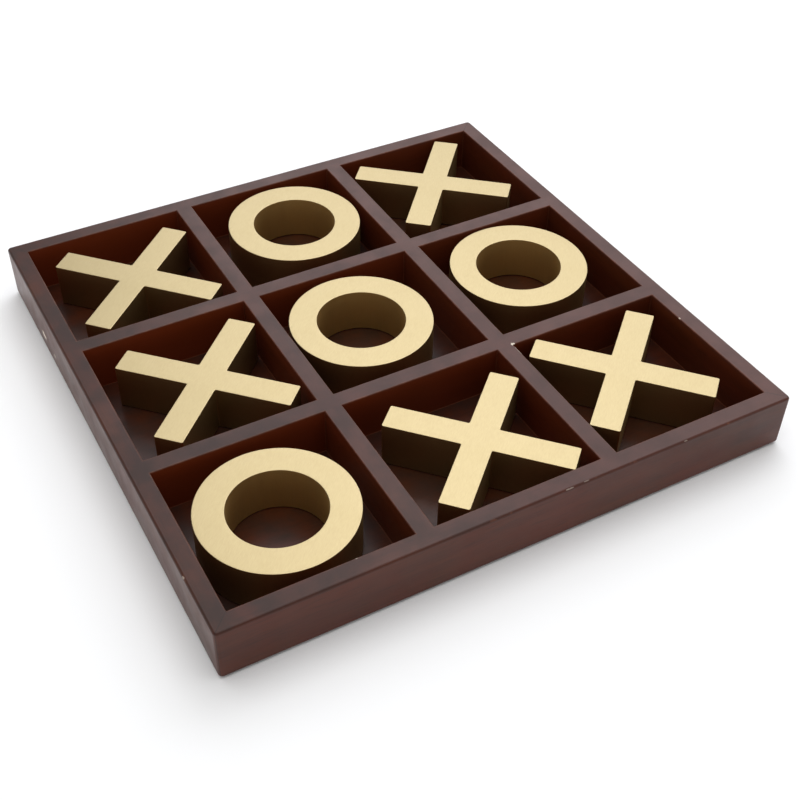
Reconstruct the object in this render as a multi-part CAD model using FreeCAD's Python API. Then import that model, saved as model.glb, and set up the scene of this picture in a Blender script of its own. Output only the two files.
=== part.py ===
"""Tic tac toe set: a wooden tray of nine cells with five crosses and four rings.

Every size is in millimetres. The origin is the middle of the tray on the surface
it stands on. X runs along the front rail, Y runs from front to back and Z is up.
"""

import math
import os

import FreeCAD, Part
from FreeCAD import Vector

# Tray, outside
TRAY_SIDE = 356.0
TRAY_HEIGHT = 36.0
RAIL_WIDTH = 11.0
CORNER_RADIUS = 2.5
OUTER_TOP_RADIUS = 1.5
OUTER_FOOT_RADIUS = 1.2
CELL_RIM_RADIUS = 0.6

# Tray, inside
DIVIDER_WIDTH = 11.0
SOCKET_DEPTH = 3.0
PANEL_THICKNESS = 3.5
REBATE_WIDTH = 5.0

# Felt pads under the tray
PAD_DIAMETER = 18.0
PAD_THICKNESS = 1.5
PAD_INSET = 28.0

# Pins and brads
PIN_DIAMETER = 1.6
PIN_LENGTH = 22.0
PIN_SET_IN = 1.0
BRAD_HEAD_DIAMETER = 3.0
BRAD_HEAD_THICKNESS = 0.6
BRAD_LENGTH = 14.0
PIN_CLEARANCE = 0.02

# Playing pieces
PIECE_BELOW_RIM = 1.5
CROSS_ARM_WIDTH = 17.6
CROSS_ROOM = 13.6
CROSS_TIP_RADIUS = 1.0
CROSS_CROTCH_RADIUS = 1.0
RING_BAND_WIDTH = 17.3
RING_ROOM = 14.5
TOP_BEVEL = 0.5
FOOT_BEVEL = 0.3
WALL_CLEARANCE = 0.3

# Felt dots under each playing piece
DOT_DIAMETER = 9.0
DOT_THICKNESS = 1.0
DOT_STAND = 0.5
DOT_FROM_TIP = 12.0

# Derived sizes
CELL = (TRAY_SIDE - 2 * RAIL_WIDTH - 2 * DIVIDER_WIDTH) / 3
CELL_PITCH = CELL + DIVIDER_WIDTH
HALF_OUTSIDE = TRAY_SIDE / 2
HALF_INSIDE = HALF_OUTSIDE - RAIL_WIDTH
WOOD_FOOT = PAD_THICKNESS
FLOOR = WOOD_FOOT + PANEL_THICKNESS
LAP_LEVEL = (FLOOR + TRAY_HEIGHT) / 2
DIVIDER_CENTRES = (-CELL_PITCH / 2, CELL_PITCH / 2)
CELL_CENTRES = (-CELL_PITCH, 0.0, CELL_PITCH)
METAL_FOOT = FLOOR + DOT_STAND
METAL_TOP = TRAY_HEIGHT - PIECE_BELOW_RIM
METAL_HEIGHT = METAL_TOP - METAL_FOOT
CROSS_LENGTH = (CELL - CROSS_ROOM) * math.sqrt(2) - CROSS_ARM_WIDTH
RING_OUTER_RADIUS = (CELL - RING_ROOM) / 2
RING_INNER_RADIUS = RING_OUTER_RADIUS - RING_BAND_WIDTH
BIG = 2 * TRAY_SIDE

# Where each playing piece rests: its column from the left, its row from the
# front, the share of its free room it sits to the right and to the back of the
# middle of its cell, and for a cross the angle of one arm in degrees.
CROSSES = {
    "cross_back_left": (0, 2, 0.61, -0.78, 43.7),
    "cross_middle_left": (0, 1, 0.77, -0.44, 44.9),
    "cross_front_middle": (1, 0, 0.83, -1.00, 43.6),
    "cross_front_right": (2, 0, -0.94, 0.94, 42.7),
    "cross_back_right": (2, 2, -0.62, 0.96, 49.5),
}
RINGS = {
    "ring_front_left": (0, 0, -0.29, -0.19),
    "ring_centre": (1, 1, -0.78, 0.42),
    "ring_middle_right": (2, 1, -0.46, 0.88),
    "ring_back_middle": (1, 2, 0.50, 0.53),
}


def box(x_low, x_high, y_low, y_high, z_low, z_high):
    """A box between two values on each axis."""
    size = (x_high - x_low, y_high - y_low, z_high - z_low)
    return Part.makeBox(*size, Vector(x_low, y_low, z_low))


def centred_box(half_x, half_y, z_low, z_high, x=0.0, y=0.0):
    """A box whose middle stands at x, y."""
    return box(x - half_x, x + half_x, y - half_y, y + half_y, z_low, z_high)


def rod(radius, start, direction, length):
    """A straight round rod."""
    return Part.makeCylinder(radius, length, start, direction)


def at_level(edge, level):
    """Whether the whole edge lies at one height."""
    return all(abs(vertex.Z - level) < 1e-6 for vertex in edge.Vertexes)


def is_upright(edge):
    """Whether the edge runs straight up."""
    low, high = edge.Vertexes[0].Point, edge.Vertexes[-1].Point
    return (low - high).Length > 1e-6 and math.hypot(low.x - high.x, low.y - high.y) < 1e-6


def reach(edge):
    """The edge's largest distance from the middle along X or Y."""
    bounds = edge.BoundBox
    return max(abs(bounds.XMin), abs(bounds.XMax), abs(bounds.YMin), abs(bounds.YMax))


# The tray


def tray_block():
    """The finished outline of all the tray's wood: nine open cells, eased edges."""
    block = centred_box(HALF_OUTSIDE, HALF_OUTSIDE, WOOD_FOOT, TRAY_HEIGHT)
    corners = [edge for edge in block.Edges if is_upright(edge)]
    block = block.makeFillet(CORNER_RADIUS, corners)
    block = block.makeFillet(OUTER_TOP_RADIUS, [e for e in block.Edges if at_level(e, TRAY_HEIGHT)])
    block = block.makeFillet(OUTER_FOOT_RADIUS, [e for e in block.Edges if at_level(e, WOOD_FOOT)])
    for x in CELL_CENTRES:
        for y in CELL_CENTRES:
            block = block.cut(centred_box(CELL / 2, CELL / 2, FLOOR, TRAY_HEIGHT + 1, x, y))
    rims = [e for e in block.Edges if at_level(e, TRAY_HEIGHT) and reach(e) < HALF_INSIDE + 1e-6]
    return block.makeFillet(CELL_RIM_RADIUS, rims)


def panel_space():
    """The room the base panel takes up, with its edge in the rails' rebates."""
    half = HALF_INSIDE + REBATE_WIDTH
    return centred_box(half, half, WOOD_FOOT, FLOOR)


def divider_space(centre, lengthwise):
    """The full-height room of one divider, with its ends in the rails' sockets."""
    half_length = HALF_INSIDE + SOCKET_DEPTH
    half_width = DIVIDER_WIDTH / 2
    if lengthwise:
        return centred_box(half_length, half_width, FLOOR, TRAY_HEIGHT + 1, 0, centre)
    return centred_box(half_width, half_length, FLOOR, TRAY_HEIGHT + 1, centre, 0)


def crossing_halves(z_low, z_high):
    """The parts of the divider crossings between two heights."""
    half = DIVIDER_WIDTH / 2
    halves = [
        centred_box(half, half, z_low, z_high, x, y)
        for x in DIVIDER_CENTRES
        for y in DIVIDER_CENTRES
    ]
    return Part.makeCompound(halves)


def mitre_sector(turn):
    """The quarter of the plan that one rail lies in, between two mitre lines."""
    points = [Vector(0, 0, 0), Vector(-BIG, -BIG, 0), Vector(BIG, -BIG, 0), Vector(0, 0, 0)]
    sector = Part.Face(Part.makePolygon(points)).extrude(Vector(0, 0, BIG))
    sector.rotate(Vector(0, 0, 0), Vector(0, 0, 1), turn)
    return sector


def make_dividers(block):
    """Two lengthwise dividers notched from below over two crosswise ones."""
    dividers = {}
    lower_notches = crossing_halves(FLOOR - 1, LAP_LEVEL)
    upper_notches = crossing_halves(LAP_LEVEL, TRAY_HEIGHT + 1)
    for name, centre in zip(("front", "back"), DIVIDER_CENTRES):
        strip = block.common(divider_space(centre, True))
        dividers["lengthwise_divider_" + name] = strip.cut(lower_notches)
    for name, centre in zip(("left", "right"), DIVIDER_CENTRES):
        strip = block.common(divider_space(centre, False))
        dividers["crosswise_divider_" + name] = strip.cut(upper_notches)
    return dividers


def make_rails(block):
    """Four mitred rails, rebated for the base panel and socketed for the dividers."""
    frame = block.cut(centred_box(HALF_INSIDE, HALF_INSIDE, 0, TRAY_HEIGHT + 1))
    frame = frame.cut(panel_space())
    for centre in DIVIDER_CENTRES:
        frame = frame.cut(divider_space(centre, True))
        frame = frame.cut(divider_space(centre, False))
    turns = {"front_rail": 0, "right_rail": 90, "back_rail": 180, "left_rail": 270}
    return {name: frame.common(mitre_sector(turn)) for name, turn in turns.items()}


def corner_pins(clearance=0.0):
    """Two pins a corner, driven from the front and back rails into the side rails."""
    radius = PIN_DIAMETER / 2 + clearance
    rise = TRAY_HEIGHT - FLOOR
    x, y = HALF_OUTSIDE - RAIL_WIDTH / 2, HALF_OUTSIDE - PIN_SET_IN
    pins = []
    for side in (-1, 1):
        for end in (-1, 1):
            for level in (FLOOR + rise / 4, FLOOR + 3 * rise / 4):
                start = Vector(side * x, end * y, level)
                pins.append(rod(radius, start, Vector(0, -end, 0), PIN_LENGTH))
    return pins


def divider_pins(clearance=0.0):
    """One pin through the rail into each end of each divider."""
    radius = PIN_DIAMETER / 2 + clearance
    start_out = HALF_OUTSIDE - PIN_SET_IN
    pins = []
    for centre in DIVIDER_CENTRES:
        for end in (-1, 1):
            along_x = Vector(end * start_out, centre, LAP_LEVEL)
            pins.append(rod(radius, along_x, Vector(-end, 0, 0), PIN_LENGTH))
            along_y = Vector(centre, end * start_out, LAP_LEVEL)
            pins.append(rod(radius, along_y, Vector(0, -end, 0), PIN_LENGTH))
    return pins


def panel_brads(clearance=0.0):
    """Headed brads up through the edge of the base panel, three along each rail."""
    shank = PIN_DIAMETER / 2 + clearance
    head = BRAD_HEAD_DIAMETER / 2 + clearance
    out = HALF_INSIDE + REBATE_WIDTH / 2
    up = Vector(0, 0, 1)
    brads = []
    for along in CELL_CENTRES:
        for side in (-1, 1):
            for x, y in ((along, side * out), (side * out, along)):
                foot = Vector(x, y, WOOD_FOOT)
                brad = rod(shank, foot, up, BRAD_LENGTH)
                brads.append(brad.fuse(rod(head, foot, up, BRAD_HEAD_THICKNESS)).removeSplitter())
    return brads


def tray_pads():
    """Four round felt pads under the base panel."""
    place = HALF_OUTSIDE - PAD_INSET
    corners = [Vector(x, y, 0) for x in (-place, place) for y in (-place, place)]
    return [rod(PAD_DIAMETER / 2, foot, Vector(0, 0, 1), PAD_THICKNESS) for foot in corners]


def make_tray():
    """All the nodes of the tray."""
    block = tray_block()
    wood = make_rails(block)
    wood.update(make_dividers(block))
    wood["base_panel"] = block.common(panel_space())
    holes = corner_pins(PIN_CLEARANCE) + divider_pins(PIN_CLEARANCE) + panel_brads(PIN_CLEARANCE)
    for name, shape in wood.items():
        near = [hole for hole in holes if hole.BoundBox.intersect(shape.BoundBox)]
        wood[name] = shape.cut(near) if near else shape
    wood["corner_pins"] = Part.makeCompound(corner_pins())
    wood["divider_pins"] = Part.makeCompound(divider_pins())
    wood["panel_brads"] = Part.makeCompound(panel_brads())
    wood["tray_pads"] = Part.makeCompound(tray_pads())
    return wood


# The playing pieces


def cross_half_extent(turn):
    """How far a cross with one arm at this angle reaches along X and along Y."""
    angle = math.radians(turn)
    along, across = abs(math.cos(angle)), abs(math.sin(angle))
    longest = max(CROSS_LENGTH * along + CROSS_ARM_WIDTH * across,
                  CROSS_LENGTH * across + CROSS_ARM_WIDTH * along)
    return longest / 2


def cross_metal():
    """A cross of two equal bars, middle at the origin, foot at height zero."""
    half_length, half_width = CROSS_LENGTH / 2, CROSS_ARM_WIDTH / 2
    cross = centred_box(half_length, half_width, 0, METAL_HEIGHT)
    cross = cross.fuse(centred_box(half_width, half_length, 0, METAL_HEIGHT)).removeSplitter()
    upright = [edge for edge in cross.Edges if is_upright(edge)]
    tips = [edge for edge in upright if reach(edge) > half_width + 1e-6]
    cross = cross.makeFillet(CROSS_TIP_RADIUS, tips)
    inner = [edge for edge in cross.Edges if reach(edge) < half_width + 1e-6]
    cross = cross.makeFillet(CROSS_CROTCH_RADIUS, [edge for edge in inner if is_upright(edge)])
    return bevel_ends(cross)


def ring_metal():
    """A ring with a plain bore, middle at the origin, foot at height zero."""
    ring = Part.makeCylinder(RING_OUTER_RADIUS, METAL_HEIGHT)
    ring = ring.cut(Part.makeCylinder(RING_INNER_RADIUS, METAL_HEIGHT))
    return bevel_ends(ring)


def bevel_ends(metal):
    """Break the edges all round the top and the foot of a playing piece."""
    metal = metal.makeChamfer(TOP_BEVEL, [e for e in metal.Edges if at_level(e, METAL_HEIGHT)])
    return metal.makeChamfer(FOOT_BEVEL, [e for e in metal.Edges if at_level(e, 0)])


def felt_dots(places):
    """Felt dots that stand a little below the foot of a playing piece."""
    up = Vector(0, 0, 1)
    return [rod(DOT_DIAMETER / 2, Vector(x, y, -DOT_STAND), up, DOT_THICKNESS) for x, y in places]


def place_piece(name, metal, dots, half_extent, place, turn):
    """Move a playing piece and its felt dots to their cell, as two nodes."""
    column, row, share_x, share_y = place
    room = CELL / 2 - half_extent - WALL_CLEARANCE
    x = CELL_CENTRES[column] + share_x * room
    y = CELL_CENTRES[row] + share_y * room
    nodes = {name: metal.cut(dots), name + "_felts": Part.makeCompound(dots)}
    for shape in nodes.values():
        shape.rotate(Vector(0, 0, 0), Vector(0, 0, 1), turn)
        shape.translate(Vector(x, y, METAL_FOOT))
    return nodes


def make_playing_pieces():
    """All the crosses and rings with their felt dots."""
    nodes = {}
    arm = CROSS_LENGTH / 2 - DOT_FROM_TIP
    arm_ends = [(arm, 0), (0, arm), (-arm, 0), (0, -arm)]
    for name, (column, row, share_x, share_y, turn) in CROSSES.items():
        place = (column, row, share_x, share_y)
        extent = cross_half_extent(turn)
        nodes.update(place_piece(name, cross_metal(), felt_dots(arm_ends), extent, place, turn))
    middle = (RING_OUTER_RADIUS + RING_INNER_RADIUS) / 2
    round_band = [(middle, 0), (0, middle), (-middle, 0), (0, -middle)]
    for name, place in RINGS.items():
        dots = felt_dots(round_band)
        nodes.update(place_piece(name, ring_metal(), dots, RING_OUTER_RADIUS, place, 45))
    return nodes


def main():
    os.makedirs("parts", exist_ok=True)
    nodes = make_tray()
    nodes.update(make_playing_pieces())
    for name, shape in nodes.items():
        shape.exportStep("parts/" + name + ".step")


main()
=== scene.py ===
"""Looks of a wooden tic tac toe set: a tray of nine cells, five crosses, four rings."""

import math

import bpy
from mathutils import Matrix, Quaternion, Vector


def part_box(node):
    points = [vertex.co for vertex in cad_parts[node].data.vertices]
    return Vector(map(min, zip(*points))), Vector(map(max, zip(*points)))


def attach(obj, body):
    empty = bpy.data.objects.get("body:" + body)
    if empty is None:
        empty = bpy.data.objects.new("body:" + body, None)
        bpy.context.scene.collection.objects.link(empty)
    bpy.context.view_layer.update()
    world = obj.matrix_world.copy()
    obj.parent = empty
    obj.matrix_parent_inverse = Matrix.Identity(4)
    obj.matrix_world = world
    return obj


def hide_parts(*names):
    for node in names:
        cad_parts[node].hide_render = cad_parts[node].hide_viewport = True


bl_info = {
    "name": "Tic Tac Toe Set",
    "version": (1, 0, 0),
    "blender": (4, 5, 0),
    "location": "View3D > Sidebar > Tic Tac Toe",
    "description": "Models a lacquered wooden tray with brass-tone crosses and rings",
    "category": "Add Mesh",
}

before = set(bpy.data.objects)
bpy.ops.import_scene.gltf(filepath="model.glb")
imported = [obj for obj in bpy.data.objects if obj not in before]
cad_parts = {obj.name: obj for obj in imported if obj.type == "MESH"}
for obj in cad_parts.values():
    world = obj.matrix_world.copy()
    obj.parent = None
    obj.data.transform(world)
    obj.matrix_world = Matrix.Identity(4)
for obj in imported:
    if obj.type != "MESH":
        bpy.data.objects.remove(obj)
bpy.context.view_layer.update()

MM = 0.001
TINY = 1e-6
# Edges that turn more than the first are rounded, and those that turn less than the second
# are shaded smooth.
SHARP_ANGLE = math.radians(30)
SMOOTH_ANGLE = math.radians(40)
RING_STEPS = 180

# Places taken from the frame, in metres
TRAY_HALF = -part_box("front_rail")[0].y
INSIDE_HALF = -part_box("front_rail")[1].y
WOOD_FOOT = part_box("front_rail")[0].z
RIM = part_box("front_rail")[1].z
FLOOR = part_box("base_panel")[1].z
PANEL_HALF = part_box("base_panel")[1].x
DIVIDER_LOW, DIVIDER_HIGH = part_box("crosswise_divider_right")
DIVIDER_CENTRE = (DIVIDER_LOW.x + DIVIDER_HIGH.x) / 2
DIVIDER_HALF_WIDTH = (DIVIDER_HIGH.x - DIVIDER_LOW.x) / 2
DIVIDER_HALF_LENGTH = DIVIDER_HIGH.y
LAP_LEVEL = (FLOOR + RIM) / 2
CELL_PITCH = 2 * DIVIDER_CENTRE
CELL_HALF = CELL_PITCH / 2 - DIVIDER_HALF_WIDTH
METAL_FOOT, METAL_TOP = (corner.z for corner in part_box("ring_centre"))
RING_RADIUS = (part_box("ring_centre")[1].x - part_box("ring_centre")[0].x) / 2

# How far each piece is turned about Z from the way it is modelled, in degrees
RAIL_TURNS = {"front": 0, "right": 90, "back": 180, "left": 270}
CROSS_TURNS = {
    "cross_back_left": 43.7,
    "cross_middle_left": 44.9,
    "cross_front_middle": 43.6,
    "cross_front_right": 42.7,
    "cross_back_right": 49.5,
}
RING_TURNS = {
    "ring_front_left": 45,
    "ring_centre": 45,
    "ring_middle_right": 45,
    "ring_back_middle": 45,
}

# Knocks: where they are and their size, in millimetres, and how bare they leave the wood
KNOCKS = (
    ((-178, 108, 12.5), (3, 5.5, 2.6), 1.0),
    ((-178, 86, 11), (2, 3.0, 1.6), 0.7),
    ((-177.7, -138, 35.6), (0.7, 1.5, 0.7), 0.35),
    ((25, -177.6, 35.6), (3.4, 0.42, 0.42), 0.3),
    ((36, -177.2, 35.8), (2.2, 0.36, 0.38), 0.2),
    ((102, -177.5, 35.5), (1.3, 0.42, 0.42), 0.25),
    ((-97, -167.3, 36), (0.9, 0.5, 0.6), 0.5),
    ((167.3, -90, 36), (0.5, 1.0, 0.7), 0.7),
    ((63, -62.6, 36), (1.5, 1.2, 1.0), 1.0),
    ((63, -68, 36), (0.5, 8.0, 0.6), 0.9),
)

# Stained and lacquered: streaks along the grain under a satin shine. The axis is added.
WOOD = "stained_hardwood_lacquered_grain_"
# Cast, plated and brushed: a pale soft glow on top, and sides painted browner, a painted
# reflection of the wood.
BRASS = "brass_tone_aluminium_brushed"
# Pressed from wool: dark and matt, with a faint fuzz.
FELT = "wool_felt_pressed"
# Drawn to wire and cut: small cool glints.
STEEL = "steel_wire_drawn"
# Painted matt: a plain pale ground that takes soft shadows.
FLOOR_PAINT = "floor_paint_matt"

# Degrees for the camera's heading from +Y toward +X, its dip below level and its roll
CAMERA_ANGLES = (28.33, 42.57, -0.22)
CAMERA_PLACE = (-0.2741, -0.5202, 0.5009)
CAMERA_LENS = 54.6
CAMERA_SHIFT = (0.025, 0.009)
FLOOR_WIDTH = 8

# Kinds of shader node. Sockets that share a name are picked by number: Map Range takes its
# value at 0, its old range at 1 and 2 and its new range at 3 and 4. Mix takes its share at
# 0, its numbers at 2 and 3 and its colours at 6 and 7, and gives a mixed colour at 2.
ATTRIBUTE = "ShaderNodeAttribute"
BUMP = "ShaderNodeBump"
COORDINATES = "ShaderNodeTexCoord"
MAPPING = "ShaderNodeMapping"
MATH = "ShaderNodeMath"
MIX = "ShaderNodeMix"
NOISE = "ShaderNodeTexNoise"
RANGE = "ShaderNodeMapRange"
SPLIT = "ShaderNodeSeparateXYZ"
VECTOR = "ShaderNodeVectorMath"


def linear(hex_colour):
    """The linear red, green and blue of an sRGB hex colour."""
    channels = [int(hex_colour[i : i + 2], 16) / 255 for i in (1, 3, 5)]
    return [c / 12.92 if c <= 0.04045 else ((c + 0.055) / 1.055) ** 2.4 for c in channels]


def opaque(colour):
    """A colour with full alpha, as shader sockets take it."""
    return (*colour, 1.0)


def colour_property(name, hex_colour, words):
    """A colour that shows as a swatch in the sidebar."""
    return bpy.props.FloatVectorProperty(
        name=name,
        description=words,
        subtype="COLOR",
        size=3,
        min=0,
        max=1,
        default=linear(hex_colour),
    )


def length_property(name, millimetres, words):
    """A length that the sidebar shows in the scene's units."""
    return bpy.props.FloatProperty(
        name=name,
        description=words,
        unit="LENGTH",
        precision=5,
        min=0,
        default=millimetres * MM,
    )


class TrayShape(bpy.types.PropertyGroup):
    """Sizes of the tray's edges that a maker would change."""

    corner_radius: length_property("Corner radius", 2.5, "Round on the tray's upright corners")
    top_easing: length_property("Top easing", 1.5, "Round on the tray's outer top edge")
    foot_easing: length_property("Foot easing", 1.2, "Round on the tray's outer foot edge")
    rim_easing: length_property("Rim easing", 0.6, "Round on the top edges of the cells")


class MetalShape(bpy.types.PropertyGroup):
    """Sizes of the crosses and rings that a maker would change."""

    cross_length: length_property("Cross length", 110.24, "Length of a cross along one arm")
    cross_arm: length_property("Arm width", 17.6, "Width of a cross's arms")
    upright_round: length_property("Upright round", 1.0, "Round on a cross's upright edges")
    ring_bore: length_property("Ring bore", 27.45, "Radius of the hole in a ring")
    top_bevel: length_property("Top bevel", 0.5, "Bevel round the top of a playing piece")
    foot_bevel: length_property("Foot bevel", 0.3, "Bevel round the foot of a playing piece")


class Finish(bpy.types.PropertyGroup):
    """Colours of the wood, the metals, the felt and the floor."""

    wood_dark: colour_property("Wood, dark", "#3d190a", "Stained wood where the grain is dense")
    wood_light: colour_property("Wood, light", "#4f2410", "Stained wood where the grain is open")
    wood_red: colour_property("Wood, red", "#551e0d", "Clouds where the stain lies redder")
    wood_pores: colour_property("Wood, pores", "#1a0c06", "Pores that the stain filled")
    # Wood, glazed: painted shade, darker and cooler on the level faces that get the most light
    # from above
    wood_glaze_shade: colour_property("Wood, glazed", "#271711", "Dark glaze on the level faces")
    # Wood, rosy: a painted sheen, lighter toward the right of the tops
    wood_rosy_sheen: colour_property("Wood, rosy", "#683a30", "Rosier glaze toward the right")
    # Wood, inside: partly a thicker stain, partly a painted warm glow and shade on the cells'
    # walls
    wood_inside_glow: colour_property("Wood, inside", "#732c10", "Thick stain on the cells' walls")
    # Wood, worn: partly lacquer rubbed thin, partly painted highlights on the rims, arrises,
    # corners and seams
    wood_worn_and_highlit: colour_property("Wood, worn", "#7c4a35", "Edges where the stain is rubbed thin")
    wood_mitre: colour_property("Wood, mitre", "#140905", "Fine joint lines at the corners")
    wood_bare: colour_property("Wood, bare", "#dcd0c0", "Small knocks down to bare wood")
    brass_low: colour_property("Brass, low", "#ad9c77", "Brass-tone metal in the brush marks")
    brass_high: colour_property("Brass, high", "#b3a37d", "Brass-tone metal between the marks")
    brass_cloud: colour_property("Brass, cloud", "#a49268", "Clouds where the plating is thin")
    # Brass, cast: a painted reflection of the dark wood on the pieces' sides
    brass_side_reflection: colour_property("Brass, cast", "#ac8a4c", "Sides that were not buffed")
    # Brass, bore: a painted warm glow inside the rings' bores
    brass_bore_glow: colour_property("Brass, bore", "#e0b468", "Bores that were turned bright")
    felt_dark: colour_property("Felt, dark", "#24211f", "Felt between the fibres")
    felt_light: colour_property("Felt, light", "#3a3633", "Fibres of the felt")
    steel_dark: colour_property("Steel, dark", "#8f8f92", "Drawing marks in the steel wire")
    steel_light: colour_property("Steel, light", "#c9c9cc", "Steel wire between the marks")
    floor: colour_property("Floor", "#f7f7f7", "The plain floor the tray stands on")


# Modelling helpers


def deselect_everything():
    """Leave edit mode and deselect all objects."""
    if bpy.context.object and bpy.context.object.mode != "OBJECT":
        bpy.ops.object.mode_set(mode="OBJECT")
    bpy.ops.object.select_all(action="DESELECT")


def make_active(piece):
    """Select one object alone and make it the active one."""
    deselect_everything()
    piece.select_set(True)
    bpy.context.view_layer.objects.active = piece


def add_block(name, low, high):
    """A cube primitive between two corners, its place in its mesh."""
    deselect_everything()
    low, high = Vector(low), Vector(high)
    bpy.ops.mesh.primitive_cube_add(size=1, location=(low + high) / 2, scale=high - low)
    piece = bpy.context.object
    piece.name = piece.data.name = name
    bpy.ops.object.transform_apply(location=True, rotation=True, scale=True)
    return piece


def add_blocks(name, corners):
    """Several blocks that are joined as one object, none touching another."""
    blocks = [add_block(name, low, high) for low, high in corners]
    deselect_everything()
    for block in blocks:
        block.select_set(True)
    bpy.context.view_layer.objects.active = blocks[0]
    bpy.ops.object.join()
    return blocks[0]


def round_edges(piece, radius, segments, wanted):
    """Round the sharp edges whose two end points pass a test."""
    make_active(piece)
    bpy.ops.object.mode_set(mode="EDIT")
    bpy.ops.mesh.select_mode(type="EDGE")
    bpy.ops.mesh.select_all(action="DESELECT")
    bpy.ops.mesh.edges_select_sharp(sharpness=SHARP_ANGLE)
    bpy.ops.object.mode_set(mode="OBJECT")
    points = piece.data.vertices
    ends = {e.index: [points[i].co for i in e.vertices] for e in piece.data.edges if e.select}
    chosen = [index for index, (a, b) in ends.items() if wanted(a, b)]
    # A face that is still selected would bring all its edges back.
    bpy.ops.object.mode_set(mode="EDIT")
    bpy.ops.mesh.select_all(action="DESELECT")
    bpy.ops.object.mode_set(mode="OBJECT")
    for index in chosen:
        piece.data.edges[index].select = True
    bpy.ops.object.mode_set(mode="EDIT")
    bpy.ops.mesh.bevel(
        offset=radius, offset_type="OFFSET", segments=segments, profile=0.5, affect="EDGES"
    )
    bpy.ops.object.mode_set(mode="OBJECT")


def select_faces(piece, wanted):
    """In edit mode, select the faces that pass a test."""
    make_active(piece)
    bpy.ops.object.mode_set(mode="EDIT")
    bpy.ops.mesh.select_mode(type="FACE")
    bpy.ops.mesh.select_all(action="DESELECT")
    bpy.ops.object.mode_set(mode="OBJECT")
    for face in piece.data.polygons:
        face.select = bool(wanted(face))
    bpy.ops.object.mode_set(mode="EDIT")


def shape_with(piece, tool, operation):
    """Cut a tool object out of a piece, or keep only what lies in it, and remove the tool."""
    make_active(piece)
    modifier = piece.modifiers.new("shape", "BOOLEAN")
    modifier.operation = operation
    modifier.solver = "EXACT"
    modifier.object = tool
    bpy.ops.object.modifier_apply(modifier=modifier.name)
    bpy.data.objects.remove(tool)


def slice_off(piece, point, normal):
    """Cut a piece with a plane, drop what lies on the normal's side and close the cut."""
    make_active(piece)
    bpy.ops.object.mode_set(mode="EDIT")
    bpy.ops.mesh.select_all(action="SELECT")
    bpy.ops.mesh.bisect(
        plane_co=point, plane_no=normal, clear_outer=True, use_fill=True, threshold=TINY
    )
    bpy.ops.object.mode_set(mode="OBJECT")


def tidy_mesh(piece):
    """Merge doubled points, face everything outwards and shade the rounds smooth."""
    make_active(piece)
    bpy.ops.object.mode_set(mode="EDIT")
    bpy.ops.mesh.select_all(action="SELECT")
    bpy.ops.mesh.remove_doubles(threshold=TINY)
    bpy.ops.mesh.normals_make_consistent(inside=False)
    bpy.ops.object.mode_set(mode="OBJECT")
    bpy.ops.object.shade_smooth_by_angle(angle=SMOOTH_ANGLE)


def flatten_shading(piece):
    """Let the large flat faces set the normals, so that only the rounds look round."""
    make_active(piece)
    modifier = piece.modifiers.new("weighted", "WEIGHTED_NORMAL")
    modifier.weight = 100
    modifier.keep_sharp = True
    bpy.ops.object.modifier_apply(modifier=modifier.name)


def placed_copy(piece, name, turn=0, place=(0, 0, 0)):
    """A copy with its own mesh, turned about Z and moved within that mesh."""
    mesh = piece.data.copy()
    mesh.name = name
    mesh.transform(Matrix.Translation(place) @ Matrix.Rotation(math.radians(turn), 4, "Z"))
    copy = bpy.data.objects.new(name, mesh)
    bpy.context.scene.collection.objects.link(copy)
    return copy


def keep_bench_coordinates(piece, bore):
    """Store each point's place at the bench and which points lie on a turned bore."""
    # Making an attribute can move the others, so both are made before either is filled.
    attributes = piece.data.attributes
    attributes.new("bench", "FLOAT_VECTOR", "POINT")
    attributes.new("turned", "FLOAT", "POINT")
    bench, turned = attributes["bench"].data, attributes["turned"].data
    for point in piece.data.vertices:
        bench[point.index].vector = point.co
        turned[point.index].value = float(point.co.xy.length < bore + 10 * TINY)


def finish_piece(piece, body, node, material):
    """Give a piece its material and its body, and hide the frame node it stands for."""
    piece.data.materials.clear()
    piece.data.materials.append(bpy.data.materials[material])
    flatten_shading(piece)
    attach(piece, body)
    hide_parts(node)


def dress_node(node, material):
    """Give a node of the frame a material of its own."""
    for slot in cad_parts[node].material_slots:
        slot.link = "OBJECT"
        slot.material = bpy.data.materials[material]


# Materials


def add_node(tree, kind, inputs, output=0, **settings):
    """Add a shader node, set or link its inputs, and give back one of its outputs."""
    node = tree.nodes.new(kind)
    for name, value in settings.items():
        setattr(node, name, value)
    for key, value in inputs.items():
        if isinstance(value, bpy.types.NodeSocket):
            tree.links.new(value, node.inputs[key])
        else:
            node.inputs[key].default_value = value
    return node.outputs[output]


def new_material(name):
    """The node tree and the principled shader of a new material."""
    material = bpy.data.materials.new(name)
    material.use_nodes = True
    return material.node_tree, material.node_tree.nodes["Principled BSDF"]


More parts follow.
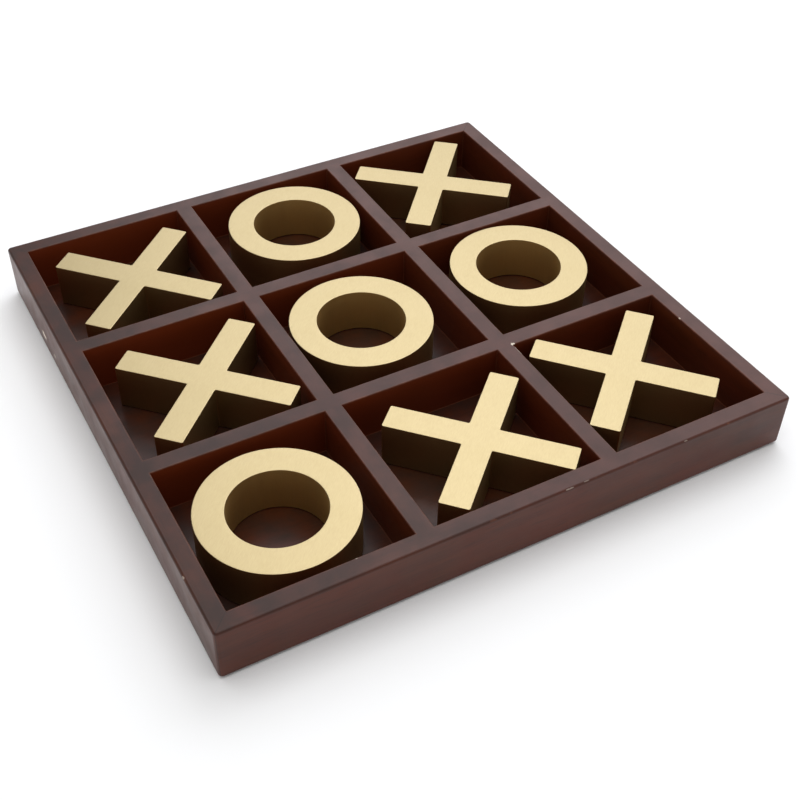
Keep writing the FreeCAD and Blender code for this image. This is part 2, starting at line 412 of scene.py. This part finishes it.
def wood_places(tree, place):
    """Shares that say where on the tray a point of the wood lies, by name."""
    # How far the point is past the walls of its nearest cell, along X and along Y
    half_pitch = (CELL_PITCH / 2, CELL_PITCH / 2, 0)
    last_cell = (CELL_PITCH, CELL_PITCH, 0)
    first_cell = (-CELL_PITCH, -CELL_PITCH, 0)
    centre = add_node(tree, VECTOR, {0: place, 1: half_pitch}, operation="ADD")
    centre = add_node(
        tree, VECTOR, {0: centre, 1: (CELL_PITCH, CELL_PITCH, 1)}, operation="SNAP"
    )
    centre = add_node(tree, VECTOR, {0: centre, 1: last_cell}, operation="MINIMUM")
    centre = add_node(tree, VECTOR, {0: centre, 1: first_cell}, operation="MAXIMUM")
    past = add_node(tree, VECTOR, {0: place, 1: centre}, operation="SUBTRACT")
    past = add_node(tree, VECTOR, {0: past}, operation="ABSOLUTE")
    past = add_node(tree, VECTOR, {0: past, 1: (CELL_HALF, CELL_HALF, 0)}, operation="SUBTRACT")
    past_x, past_y, _ = add_node(tree, SPLIT, {0: past}).node.outputs
    past_wall = add_node(tree, MATH, {0: past_x, 1: past_y}, operation="MAXIMUM")
    past_corner = add_node(tree, MATH, {0: past_x, 1: past_y}, operation="MINIMUM")

    # How far the point is from the tray's middle, as the greater and the lesser of X and Y
    side, _, height = add_node(tree, SPLIT, {0: place}).node.outputs
    apart = add_node(tree, VECTOR, {0: place}, operation="ABSOLUTE")
    across, along, _ = add_node(tree, SPLIT, {0: apart}).node.outputs
    reach = add_node(tree, MATH, {0: across, 1: along}, operation="MAXIMUM")
    lesser = add_node(tree, MATH, {0: across, 1: along}, operation="MINIMUM")

    at_top = add_node(tree, RANGE, {0: height, 1: RIM - 1.1 * MM, 2: RIM - 0.3 * MM})
    rim = add_node(tree, RANGE, {0: past_wall, 1: 1.0 * MM, 2: 0.3 * MM})
    rim = add_node(tree, MATH, {0: rim, 1: at_top}, operation="MULTIPLY")

    outside = add_node(tree, RANGE, {0: reach, 1: TRAY_HALF - 1.4 * MM, 2: TRAY_HALF - 0.6 * MM})
    upper = add_node(tree, RANGE, {0: height, 1: RIM - 1.4 * MM, 2: RIM - 0.6 * MM})
    lower = add_node(tree, RANGE, {0: height, 1: WOOD_FOOT + 1.4 * MM, 2: WOOD_FOOT + 0.6 * MM})
    upright = add_node(tree, RANGE, {0: lesser, 1: TRAY_HALF - 2.4 * MM, 2: TRAY_HALF - 1.2 * MM})
    arris = add_node(tree, MATH, {0: upper, 1: lower}, operation="MAXIMUM")
    arris = add_node(tree, MATH, {0: arris, 1: upright}, operation="MAXIMUM")
    arris = add_node(tree, MATH, {0: outside, 1: arris}, operation="MULTIPLY")

    # The cells' upright corners, and the seam where their walls meet the floor, which take a
    # painted highlight
    in_cell = add_node(tree, RANGE, {0: past_wall, 1: 0.1 * MM, 2: 0.05 * MM})
    corner = add_node(tree, RANGE, {0: past_corner, 1: -0.7 * MM, 2: -0.3 * MM})
    corner = add_node(tree, MATH, {0: corner, 1: in_cell}, operation="MULTIPLY")
    seam = add_node(tree, RANGE, {0: past_wall, 1: -0.6 * MM, 2: -0.3 * MM})
    low = add_node(tree, RANGE, {0: height, 1: FLOOR + 0.6 * MM, 2: FLOOR + 0.3 * MM})
    seam = add_node(tree, MATH, {0: seam, 1: low}, operation="MULTIPLY")
    seam = add_node(tree, MATH, {0: seam, 1: in_cell}, operation="MULTIPLY")
    corner_seam_highlight = add_node(tree, MATH, {0: corner, 1: seam}, operation="MAXIMUM")

    slant = add_node(tree, MATH, {0: across, 1: along}, operation="SUBTRACT")
    slant = add_node(tree, MATH, {0: slant}, operation="ABSOLUTE")
    mitre = add_node(tree, RANGE, {0: slant, 1: 0.5 * MM, 2: 0.2 * MM})
    on_rails = add_node(tree, MATH, {0: lesser, 1: INSIDE_HALF}, operation="GREATER_THAN")
    mitre = add_node(tree, MATH, {0: mitre, 1: on_rails}, operation="MULTIPLY")

    # The level faces are the tops and the cells' floors.
    walls = add_node(tree, RANGE, {0: past_wall, 1: -0.1 * MM, 2: -0.05 * MM})
    walls = add_node(tree, MATH, {0: in_cell, 1: walls}, operation="MULTIPLY")
    cell_floor = add_node(tree, MATH, {0: in_cell, 1: walls}, operation="SUBTRACT")
    tops = add_node(tree, RANGE, {0: height, 1: RIM - 2.4 * MM, 2: RIM - 0.4 * MM})
    level = add_node(tree, MATH, {0: tops, 1: cell_floor}, operation="MAXIMUM")

    # The cells' walls take a redder colour that fades toward the right of the tray and is weaker
    # on the walls that run from front to back: partly a thicker stain, partly painted light, a
    # warm glow and shade that follow how the light falls in the cells.
    wall_glow_and_shade = add_node(tree, RANGE, {0: side, 1: -INSIDE_HALF, 2: INSIDE_HALF, 3: 1.4, 4: 0.2})
    stain = add_node(tree, MATH, {0: walls, 1: wall_glow_and_shade}, operation="MULTIPLY")
    crosswise = add_node(tree, MATH, {0: past_x, 1: past_y}, operation="GREATER_THAN")
    wall_glow_and_shade = add_node(tree, RANGE, {0: crosswise, 3: 1.0, 4: 0.4})
    stain = add_node(tree, MATH, {0: stain, 1: wall_glow_and_shade}, operation="MULTIPLY")
    # The tops are painted lighter and rosier toward the right: a painted sheen, where the
    # reflection grows toward the far side.
    right_sheen = add_node(tree, RANGE, {0: side, 1: -INSIDE_HALF, 2: TRAY_HALF, 4: 0.32})
    right_sheen = add_node(tree, MATH, {0: right_sheen, 1: tops}, operation="MULTIPLY")
    return {
        "rim": rim,
        "arris": arris,
        "corner_seam_highlight": corner_seam_highlight,
        "mitre": mitre,
        "level": level,
        "stain": stain,
        "right_sheen": right_sheen,
    }


def knocks(tree, place):
    """From 0 to 1, how far a knock has taken the wood's surface off."""
    # Splinters about 0.9 mm wide make the outline ragged. The noise is 0.5 on average, so
    # a knock ends at about 0.8 of its size.
    ragged = add_node(tree, NOISE, {"Vector": place, "Scale": 1 / (0.9 * MM), "Detail": 2.0})
    deepest = None
    for centre, size, bareness in KNOCKS:
        reach = [1 / (length * MM) for length in size]
        shift = [-c * MM * r for c, r in zip(centre, reach)]
        local = add_node(tree, MAPPING, {"Vector": place, "Location": shift, "Scale": reach})
        away = add_node(tree, VECTOR, {0: local}, output=1, operation="LENGTH")
        away = add_node(tree, MATH, {0: ragged, 1: 1.2, 2: away}, operation="MULTIPLY_ADD")
        hit = add_node(tree, RANGE, {0: away, 1: 1.5, 2: 1.35, 4: bareness})
        if deepest is not None:
            hit = add_node(tree, MATH, {0: deepest, 1: hit}, operation="MAXIMUM")
        deepest = hit
    return deepest


def stained_wood(name, finish, grain_axis):
    """Hardwood, stained dark red-brown and sprayed with satin lacquer."""
    tree, shader = new_material(name)
    place = add_node(tree, COORDINATES, {}, output=3)
    stretch = (0.06, 1, 1) if grain_axis == "x" else (1, 0.06, 1)
    grain = add_node(tree, MAPPING, {"Vector": place, "Scale": stretch})
    streaks, pores, clouds, mottling, rubbing = (
        add_node(
            tree,
            NOISE,
            {"Vector": where, "Scale": 1 / (size * MM), "Detail": detail, "Roughness": roughness},
        )
        for where, size, detail, roughness in (
            # Growth rings give soft streaks about 12 mm wide that run along the rail.
            (grain, 12, 3.0, 0.55),
            # Pores are 0.3 mm wide in the real wood, and drawn 0.9 mm wide so that they show.
            (grain, 0.9, 2.0, 0.5),
            # The sprayed stain lies unevenly, in clouds about 45 mm across.
            (place, 45, 2.0, 0.5),
            # The level faces' painted shade and the lacquer's dullness vary in patches about 22 mm
            # across.
            (place, 22, 3.0, 0.6),
            # Hands rub the stain thin in patches about 9 mm long.
            (place, 9, 3.0, 0.65),
        )
    )
    at = wood_places(tree, place)
    chipped = knocks(tree, place)

    streak_share = add_node(tree, RANGE, {0: streaks, 1: 0.34, 2: 0.66})
    cloud_share = add_node(tree, RANGE, {0: clouds, 1: 0.35, 2: 0.7, 4: 0.6})
    pore_share = add_node(tree, RANGE, {0: pores, 1: 0.54, 2: 0.76, 4: 0.4})
    # How far the painted shade darkens and cools each level face, in patches
    glaze_shade_share = add_node(tree, RANGE, {0: mottling, 1: 0.36, 2: 0.64, 3: 0.3, 4: 0.85})
    glaze_shade_share = add_node(tree, MATH, {0: at["level"], 1: glaze_shade_share}, operation="MULTIPLY")
    stain_and_glow_share = add_node(tree, MATH, {0: at["stain"], 1: 0.5}, operation="MULTIPLY")
    # The cells' rims and, here and there, the outer arrises are painted lighter: partly lacquer
    # rubbed thin, partly a painted highlight where the eased edges catch the light. The thin pale
    # line in the cells' upright corners and along their seam with the floor is a painted
    # highlight.
    rim_wear_and_highlight = add_node(tree, RANGE, {0: rubbing, 1: 0.40, 2: 0.68, 3: 0.12, 4: 0.5})
    rim_wear_and_highlight = add_node(tree, MATH, {0: at["rim"], 1: rim_wear_and_highlight}, operation="MULTIPLY")
    arris_wear_and_highlight = add_node(tree, RANGE, {0: rubbing, 1: 0.62, 2: 0.74, 4: 0.45})
    arris_wear_and_highlight = add_node(tree, MATH, {0: at["arris"], 1: arris_wear_and_highlight}, operation="MULTIPLY")
    # Painted highlight: a thin pale line in the cells' corners and along the floor seam
    painted_highlight_share = add_node(tree, MATH, {0: at["corner_seam_highlight"], 1: 0.3}, operation="MULTIPLY")
    wear_and_highlight = add_node(tree, MATH, {0: rim_wear_and_highlight, 1: arris_wear_and_highlight}, operation="MAXIMUM")
    wear_and_highlight = add_node(tree, MATH, {0: wear_and_highlight, 1: painted_highlight_share}, operation="MAXIMUM")
    mitre_share = add_node(tree, MATH, {0: at["mitre"], 1: 0.5}, operation="MULTIPLY")

    colour = opaque(finish.wood_dark)
    for share, layer in (
        (streak_share, finish.wood_light),
        (cloud_share, finish.wood_red),
        (pore_share, finish.wood_pores),
        # The level faces are painted darker and cooler: painted shade where the light from above
        # is strongest, and the cool grey of the sheen they reflect.
        (glaze_shade_share, finish.wood_glaze_shade),
        (at["right_sheen"], finish.wood_rosy_sheen),
        # The cells' walls are painted redder: partly a thicker stain, partly a painted warm glow
        # and shade.
        (stain_and_glow_share, finish.wood_inside_glow),
        (wear_and_highlight, finish.wood_worn_and_highlit),
        (mitre_share, finish.wood_mitre),
        (chipped, finish.wood_bare),
    ):
        colour = add_node(tree, MIX, {0: share, 6: colour, 7: opaque(layer)}, 2, data_type="RGBA")
    tree.links.new(colour, shader.inputs["Base Color"])

    # The lacquer is duller in patches, and the knocks are matt.
    dull = add_node(tree, RANGE, {0: mottling, 1: 0.34, 2: 0.66, 3: 0.29, 4: 0.41})
    dull = add_node(tree, MATH, {0: chipped, 1: 0.4, 2: dull}, operation="MULTIPLY_ADD")
    tree.links.new(dull, shader.inputs["Roughness"])
    # The pores telegraph faintly through the lacquer, and knocks are dents.
    relief = add_node(tree, MATH, {0: pores, 1: -0.4, 2: streaks}, operation="MULTIPLY_ADD")
    relief = add_node(tree, MATH, {0: chipped, 1: -3.0, 2: relief}, operation="MULTIPLY_ADD")
    bump = add_node(tree, BUMP, {"Strength": 0.3, "Distance": 0.08 * MM, "Height": relief})
    tree.links.new(bump, shader.inputs["Normal"])
    shader.inputs["IOR"].default_value = 1.46
    shader.inputs["Specular IOR Level"].default_value = 0.32


def brushed_brass(name, finish):
    """Cast aluminium, plated brass-tone, brushed along the top and upright on the sides."""
    tree, shader = new_material(name)
    bench = add_node(tree, ATTRIBUTE, {}, output=1, attribute_name="bench")
    turned = add_node(tree, ATTRIBUTE, {}, output=2, attribute_name="turned")
    normal = add_node(tree, "ShaderNodeNewGeometry", {}, output=1)
    level = add_node(tree, SPLIT, {0: normal}, output=2)
    level = add_node(tree, MATH, {0: level}, operation="ABSOLUTE")
    level = add_node(tree, RANGE, {0: level, 1: 0.5, 2: 0.7})
    along = add_node(tree, MAPPING, {"Vector": bench, "Scale": (0.12, 1, 1)})
    upright = add_node(tree, MAPPING, {"Vector": bench, "Scale": (1, 1, 0.03)})
    top_lines, side_lines, clouds = (
        add_node(
            tree,
            NOISE,
            {"Vector": where, "Scale": 1 / (size * MM), "Detail": detail, "Roughness": roughness},
        )
        for where, size, detail, roughness in (
            # Brush lines are 0.1 mm wide in the real finish, and drawn 0.4 mm wide on the tops
            # and 0.8 mm wide on the sides so that they show.
            (along, 0.4, 2.0, 0.6),
            (upright, 0.8, 3.0, 0.7),
            # The plating is a little uneven, in clouds about 20 mm across.
            (bench, 20, 2.0, 0.5),
        )
    )
    lines = add_node(tree, MIX, {0: level, 2: side_lines, 3: top_lines})

    line_share = add_node(tree, RANGE, {0: lines, 1: 0.2, 2: 0.8})
    cloud_share = add_node(tree, RANGE, {0: clouds, 1: 0.45, 2: 0.8, 4: 0.15})
    # Painted reflection: the sides get a darker, browner colour than the tops
    side_reflection_share = add_node(tree, RANGE, {0: level, 3: 0.55, 4: 0.0})
    # The turned mask picks each ring's bore, which gets a painted glow here
    bore_glow_share = add_node(tree, MATH, {0: turned, 1: 0.35}, operation="MULTIPLY")
    colour = opaque(finish.brass_low)
    for share, layer in (
        (line_share, finish.brass_high),
        (cloud_share, finish.brass_cloud),
        # The sides are painted darker and browner than the tops: a painted reflection of the dark
        # wood around them.
        (side_reflection_share, finish.brass_side_reflection),
        # A ring's bore is painted brighter and warmer: a painted glow for the light that bounces
        # inside it.
        (bore_glow_share, finish.brass_bore_glow),
    ):
        colour = add_node(tree, MIX, {0: share, 6: colour, 7: opaque(layer)}, 2, data_type="RGBA")
    tree.links.new(colour, shader.inputs["Base Color"])
    shader.inputs["Metallic"].default_value = 1.0
    dull = add_node(tree, RANGE, {0: lines, 1: 0.3, 2: 0.7, 3: 0.46, 4: 0.38})
    # A bore keeps fine turning marks, so it scatters the light more than the outside.
    dull = add_node(tree, MATH, {0: turned, 1: 0.14, 2: dull}, operation="MULTIPLY_ADD")
    tree.links.new(dull, shader.inputs["Roughness"])
    bump = add_node(tree, BUMP, {"Strength": 0.06, "Distance": 0.02 * MM, "Height": lines})
    tree.links.new(bump, shader.inputs["Normal"])


def pressed_felt(name, finish):
    """Pressed wool felt: matt, fuzzy and slightly uneven."""
    tree, shader = new_material(name)
    place = add_node(tree, COORDINATES, {}, output=3)
    # Matted fibres make specks about 0.4 mm across.
    fibres = add_node(
        tree,
        NOISE,
        {"Vector": place, "Scale": 1 / (0.4 * MM), "Detail": 4.0, "Roughness": 0.7},
    )
    share = add_node(tree, RANGE, {0: fibres, 1: 0.35, 2: 0.65})
    colours = {6: opaque(finish.felt_dark), 7: opaque(finish.felt_light)}
    colour = add_node(tree, MIX, {0: share, **colours}, 2, data_type="RGBA")
    tree.links.new(colour, shader.inputs["Base Color"])
    shader.inputs["Roughness"].default_value = 0.95
    shader.inputs["Sheen Weight"].default_value = 0.3
    bump = add_node(tree, BUMP, {"Distance": 0.2 * MM, "Height": fibres})
    tree.links.new(bump, shader.inputs["Normal"])


def drawn_steel(name, finish):
    """Steel wire, drawn bright and cut to pins and brads."""
    tree, shader = new_material(name)
    place = add_node(tree, COORDINATES, {}, output=3)
    # Drawing and driving leave specks about 0.3 mm across.
    marks = add_node(tree, NOISE, {"Vector": place, "Scale": 1 / (0.3 * MM), "Detail": 3.0})
    colours = {6: opaque(finish.steel_dark), 7: opaque(finish.steel_light)}
    colour = add_node(tree, MIX, {0: marks, **colours}, 2, data_type="RGBA")
    tree.links.new(colour, shader.inputs["Base Color"])
    shader.inputs["Metallic"].default_value = 1.0
    dull = add_node(tree, RANGE, {0: marks, 1: 0.3, 2: 0.7, 3: 0.25, 4: 0.45})
    tree.links.new(dull, shader.inputs["Roughness"])


class TTT_OT_finishes(bpy.types.Operator):
    """Make the wood, metal, felt and steel finishes"""

    bl_idname = "tictactoe.finishes"
    bl_label = "Finishes"

    def execute(self, context):
        finish = context.scene.tictactoe_finish
        for axis in "xy":
            stained_wood(WOOD + axis, finish, axis)
        brushed_brass(BRASS, finish)
        pressed_felt(FELT, finish)
        drawn_steel(STEEL, finish)
        return {"FINISHED"}


# The tray


def divider_room(centre, lengthwise):
    """The corners of the full-height room of one divider, its ends in the rails' sockets."""
    low = (-DIVIDER_HALF_LENGTH, centre - DIVIDER_HALF_WIDTH)
    high = (DIVIDER_HALF_LENGTH, centre + DIVIDER_HALF_WIDTH)
    if not lengthwise:
        low, high = low[::-1], high[::-1]
    return (*low, FLOOR), (*high, 2 * RIM)


def wood_block(name, shape):
    """The outline of all the tray's wood: nine open cells and eased edges."""
    block = add_block(name, (-TRAY_HALF, -TRAY_HALF, WOOD_FOOT), (TRAY_HALF, TRAY_HALF, RIM))
    round_edges(block, shape.corner_radius, 6, lambda a, b: abs(a.z - b.z) > TINY)
    round_edges(block, shape.top_easing, 4, lambda a, b: min(a.z, b.z) > RIM - TINY)
    round_edges(block, shape.foot_easing, 3, lambda a, b: max(a.z, b.z) < WOOD_FOOT + TINY)
    centres = [
        Vector((x, y, 0))
        for x in (-CELL_PITCH, 0, CELL_PITCH)
        for y in (-CELL_PITCH, 0, CELL_PITCH)
    ]
    low, high = Vector((-CELL_HALF, -CELL_HALF, FLOOR)), Vector((CELL_HALF, CELL_HALF, 2 * RIM))
    cells = add_blocks("cells", [(centre + low, centre + high) for centre in centres])
    shape_with(block, cells, "DIFFERENCE")

    def is_rim(a, b):
        inside = INSIDE_HALF + TINY
        level = min(a.z, b.z) > RIM - TINY
        return level and max(abs(a.x), abs(a.y), abs(b.x), abs(b.y)) < inside

    round_edges(block, shape.rim_easing, 3, is_rim)
    return block


class TTT_OT_rails(bpy.types.Operator):
    """Model the four mitred rails of the tray"""

    bl_idname = "tictactoe.rails"
    bl_label = "Rails"

    def execute(self, context):
        hoop = wood_block("hoop", context.scene.tictactoe_tray)
        inside = Vector((INSIDE_HALF, INSIDE_HALF, 0))
        top = Vector((0, 0, 2 * RIM))
        shape_with(hoop, add_block("inside", -inside - top, inside + top), "DIFFERENCE")
        panel = Vector((PANEL_HALF, PANEL_HALF, 0))
        rebate = add_block("rebate", -panel, panel + Vector((0, 0, FLOOR)))
        shape_with(hoop, rebate, "DIFFERENCE")
        for lengthwise in (True, False):
            rooms = [divider_room(side * DIVIDER_CENTRE, lengthwise) for side in (-1, 1)]
            shape_with(hoop, add_blocks("sockets", rooms), "DIFFERENCE")
        for name, turn in RAIL_TURNS.items():
            rail = placed_copy(hoop, name + "_rail_wood")
            outward = Matrix.Rotation(math.radians(turn), 3, "Z") @ Vector((0, -1, 0))
            for side in (-1, 1):
                across = Matrix.Rotation(math.radians(135 * side), 3, "Z") @ outward
                slice_off(rail, (0, 0, 0), across)
            tidy_mesh(rail)
            axis = "x" if turn % 180 == 0 else "y"
            finish_piece(rail, "tray", name + "_rail", WOOD + axis)
        bpy.data.objects.remove(hoop)
        return {"FINISHED"}


class TTT_OT_dividers(bpy.types.Operator):
    """Model the four dividers, lapped over each other where they cross"""

    bl_idname = "tictactoe.dividers"
    bl_label = "Dividers"

    def execute(self, context):
        shape = context.scene.tictactoe_tray
        laps = {
            "lengthwise": (True, -RIM, LAP_LEVEL, "x", ("front", "back")),
            "crosswise": (False, LAP_LEVEL, 2 * RIM, "y", ("left", "right")),
        }
        for kind, (lengthwise, notch_low, notch_high, axis, sides) in laps.items():
            strip = wood_block("strip", shape)
            room = divider_room(-DIVIDER_CENTRE, lengthwise)
            shape_with(strip, add_block("room", *room), "INTERSECT")
            notches = []
            for side in (-1, 1):
                low = Vector((side * DIVIDER_CENTRE - DIVIDER_HALF_WIDTH, -CELL_PITCH, notch_low))
                high = Vector((side * DIVIDER_CENTRE + DIVIDER_HALF_WIDTH, 0, notch_high))
                if not lengthwise:
                    low.x, low.y = low.y, low.x
                    high.x, high.y = high.y, high.x
                notches.append((low, high))
            shape_with(strip, add_blocks("notches", notches), "DIFFERENCE")
            tidy_mesh(strip)
            for step, side in enumerate(sides):
                place = (0, step * CELL_PITCH, 0) if lengthwise else (step * CELL_PITCH, 0, 0)
                piece = placed_copy(strip, f"{kind}_{side}_divider_wood", 0, place)
                finish_piece(piece, "tray", f"{kind}_divider_{side}", WOOD + axis)
            bpy.data.objects.remove(strip)
        return {"FINISHED"}


class TTT_OT_hidden_parts(bpy.types.Operator):
    """Dress the base panel, the pins, the brads and the felt pads"""

    bl_idname = "tictactoe.hidden_parts"
    bl_label = "Panel, pins and felt"

    def execute(self, context):
        dress_node("base_panel", WOOD + "x")
        for node in ("corner_pins", "divider_pins", "panel_brads"):
            dress_node(node, STEEL)
        dress_node("tray_pads", FELT)
        for piece in (*CROSS_TURNS, *RING_TURNS):
            dress_node(piece + "_felts", FELT)
        return {"FINISHED"}


# The playing pieces


def place_playing_pieces(metal, turns, bore=0):
    """Set a copy of a finished cross or ring where each of its nodes stands."""
    tidy_mesh(metal)
    keep_bench_coordinates(metal, bore)
    for node, turn in turns.items():
        low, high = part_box(node)
        middle = ((low.x + high.x) / 2, (low.y + high.y) / 2, 0)
        piece = placed_copy(metal, node + "_metal", turn, middle)
        finish_piece(piece, node, node, BRASS)
    bpy.data.objects.remove(metal)


class TTT_OT_crosses(bpy.types.Operator):
    """Model one cross and set a copy in each of its cells"""

    bl_idname = "tictactoe.crosses"
    bl_label = "Crosses"

    def execute(self, context):
        shape = context.scene.tictactoe_metal
        half = shape.cross_arm / 2
        cross = add_block("cross", (-half, -half, METAL_FOOT), (half, half, METAL_TOP))
        select_faces(cross, lambda face: abs(face.normal.z) < 0.5)
        arm = shape.cross_length / 2 - half
        bpy.ops.mesh.extrude_faces_move(TRANSFORM_OT_shrink_fatten={"value": arm})
        bpy.ops.object.mode_set(mode="OBJECT")
        round_edges(cross, shape.upright_round, 4, lambda a, b: abs(a.z - b.z) > TINY)
        round_edges(cross, shape.top_bevel, 2, lambda a, b: min(a.z, b.z) > METAL_TOP - TINY)
        round_edges(cross, shape.foot_bevel, 2, lambda a, b: max(a.z, b.z) < METAL_FOOT + TINY)
        place_playing_pieces(cross, CROSS_TURNS)
        return {"FINISHED"}


class TTT_OT_rings(bpy.types.Operator):
    """Turn one ring from its section and set a copy in each of its cells"""

    bl_idname = "tictactoe.rings"
    bl_label = "Rings"

    def execute(self, context):
        shape = context.scene.tictactoe_metal
        # The block's depth doesn't matter, because only the outline of its end is spun.
        depth = 2 * MM
        ring = add_block("ring", (shape.ring_bore, 0, METAL_FOOT), (RING_RADIUS, depth, METAL_TOP))
        for bevel, level in ((shape.top_bevel, METAL_TOP), (shape.foot_bevel, METAL_FOOT)):

            def is_swept(a, b):
                return abs(a.x - b.x) < TINY and abs(a.z - level) + abs(b.z - level) < TINY

            round_edges(ring, bevel, 2, is_swept)
        select_faces(ring, lambda face: face.normal.y > -0.9)
        bpy.ops.mesh.delete(type="FACE")
        bpy.ops.mesh.select_all(action="SELECT")
        bpy.ops.mesh.delete(type="ONLY_FACE")
        bpy.ops.mesh.select_all(action="SELECT")
        bpy.ops.mesh.spin(
            steps=RING_STEPS,
            angle=2 * math.pi,
            center=(0, 0, 0),
            axis=(0, 0, 1),
            use_auto_merge=True,
        )
        bpy.ops.object.mode_set(mode="OBJECT")
        place_playing_pieces(ring, RING_TURNS, shape.ring_bore)
        return {"FINISHED"}


# The studio


def add_softbox(name, azimuth, elevation, distance, width, height, brightness, hex_colour):
    """A studio light that faces the tray, with the brightness of its face."""
    heading, rise = math.radians(azimuth), math.radians(elevation)
    away = Vector(
        (math.sin(heading) * math.cos(rise), math.cos(heading) * math.cos(rise), math.sin(rise))
    )
    data = bpy.data.lights.new(name, "AREA")
    data.shape = "RECTANGLE"
    data.size, data.size_y = width, height
    data.energy = brightness * math.pi * width * height
    data.color = linear(hex_colour)
    lamp = bpy.data.objects.new(name, data)
    lamp.location = away * distance
    lamp.rotation_mode = "QUATERNION"
    lamp.rotation_quaternion = away.to_track_quat("Z", "Y")
    bpy.context.scene.collection.objects.link(lamp)


class TTT_OT_stage(bpy.types.Operator):
    """Set up the floor, the studio light and the camera"""

    bl_idname = "tictactoe.stage"
    bl_label = "Stage"

    def execute(self, context):
        scene = context.scene
        deselect_everything()
        bpy.ops.mesh.primitive_plane_add(size=FLOOR_WIDTH, location=(0, 0, 0))
        floor = context.object
        floor.name = "studio_floor"
        _, shader = new_material(FLOOR_PAINT)
        shader.inputs["Base Color"].default_value = opaque(scene.tictactoe_finish.floor)
        shader.inputs["Roughness"].default_value = 0.9
        shader.inputs["Specular IOR Level"].default_value = 0.1
        floor.data.materials.append(bpy.data.materials[FLOOR_PAINT])

        scene.world = bpy.data.worlds.new("studio")
        scene.world.use_nodes = True
        tree = scene.world.node_tree
        # The studio's walls are brightest low down, where they curve up from the floor.
        sky = add_node(tree, COORDINATES, {}, output=0)
        height = add_node(tree, SPLIT, {0: sky}, output=2)
        wall = add_node(tree, RANGE, {0: height, 1: 0.05, 2: 0.5, 3: 0.95, 4: 0.42})
        background = tree.nodes["Background"]
        background.inputs["Color"].default_value = opaque(linear("#ffffff"))
        tree.links.new(wall, background.inputs["Strength"])
        add_softbox(
            "softbox_overhead",
            azimuth=0,
            elevation=88,
            distance=2.0,
            width=2.2,
            height=2.2,
            brightness=1.75,
            hex_colour="#ffffff",
        )
        add_softbox(
            "softbox_behind_right",
            azimuth=45,
            elevation=42,
            distance=2.2,
            width=2.6,
            height=1.4,
            brightness=2.2,
            hex_colour="#f6f9ff",
        )
        scene.view_settings.view_transform = "Standard"

        data = bpy.data.cameras.new("camera")
        data.sensor_width = 36
        data.lens = CAMERA_LENS
        data.shift_x, data.shift_y = CAMERA_SHIFT
        data.clip_start, data.clip_end = 0.01, 50
        camera = bpy.data.objects.new("camera", data)
        scene.collection.objects.link(camera)
        heading, dip, roll = (math.radians(angle) for angle in CAMERA_ANGLES)
        level = math.cos(dip)
        ahead = Vector((math.sin(heading) * level, math.cos(heading) * level, -math.sin(dip)))
        camera.location = CAMERA_PLACE
        camera.rotation_mode = "QUATERNION"
        camera.rotation_quaternion = Quaternion(ahead, roll) @ ahead.to_track_quat("-Z", "Y")
        scene.camera = camera
        return {"FINISHED"}


class TTT_PT_sidebar(bpy.types.Panel):
    """The set's operators and its sizes and colours"""

    bl_idname = "TTT_PT_sidebar"
    bl_label = "Tic Tac Toe Set"
    bl_space_type = "VIEW_3D"
    bl_region_type = "UI"
    bl_category = "Tic Tac Toe"

    def draw(self, context):
        scene = context.scene
        for operator in OPERATORS:
            self.layout.operator(operator.bl_idname)
        for group in (scene.tictactoe_tray, scene.tictactoe_metal, scene.tictactoe_finish):
            box = self.layout.box()
            for name in group.__annotations__:
                box.prop(group, name)


OPERATORS = (
    TTT_OT_finishes,
    TTT_OT_rails,
    TTT_OT_dividers,
    TTT_OT_hidden_parts,
    TTT_OT_crosses,
    TTT_OT_rings,
    TTT_OT_stage,
)
CLASSES = (TrayShape, MetalShape, Finish, *OPERATORS, TTT_PT_sidebar)


def register():
    for item in CLASSES:
        bpy.utils.register_class(item)
    bpy.types.Scene.tictactoe_tray = bpy.props.PointerProperty(type=TrayShape)
    bpy.types.Scene.tictactoe_metal = bpy.props.PointerProperty(type=MetalShape)
    bpy.types.Scene.tictactoe_finish = bpy.props.PointerProperty(type=Finish)


def unregister():
    del bpy.types.Scene.tictactoe_finish
    del bpy.types.Scene.tictactoe_metal
    del bpy.types.Scene.tictactoe_tray
    for item in reversed(CLASSES):
        bpy.utils.unregister_class(item)


def main():
    register()
    bpy.ops.tictactoe.finishes()
    bpy.ops.tictactoe.rails()
    bpy.ops.tictactoe.dividers()
    bpy.ops.tictactoe.hidden_parts()
    bpy.ops.tictactoe.crosses()
    bpy.ops.tictactoe.rings()
    bpy.ops.tictactoe.stage()


if __name__ == "__main__":
    main()
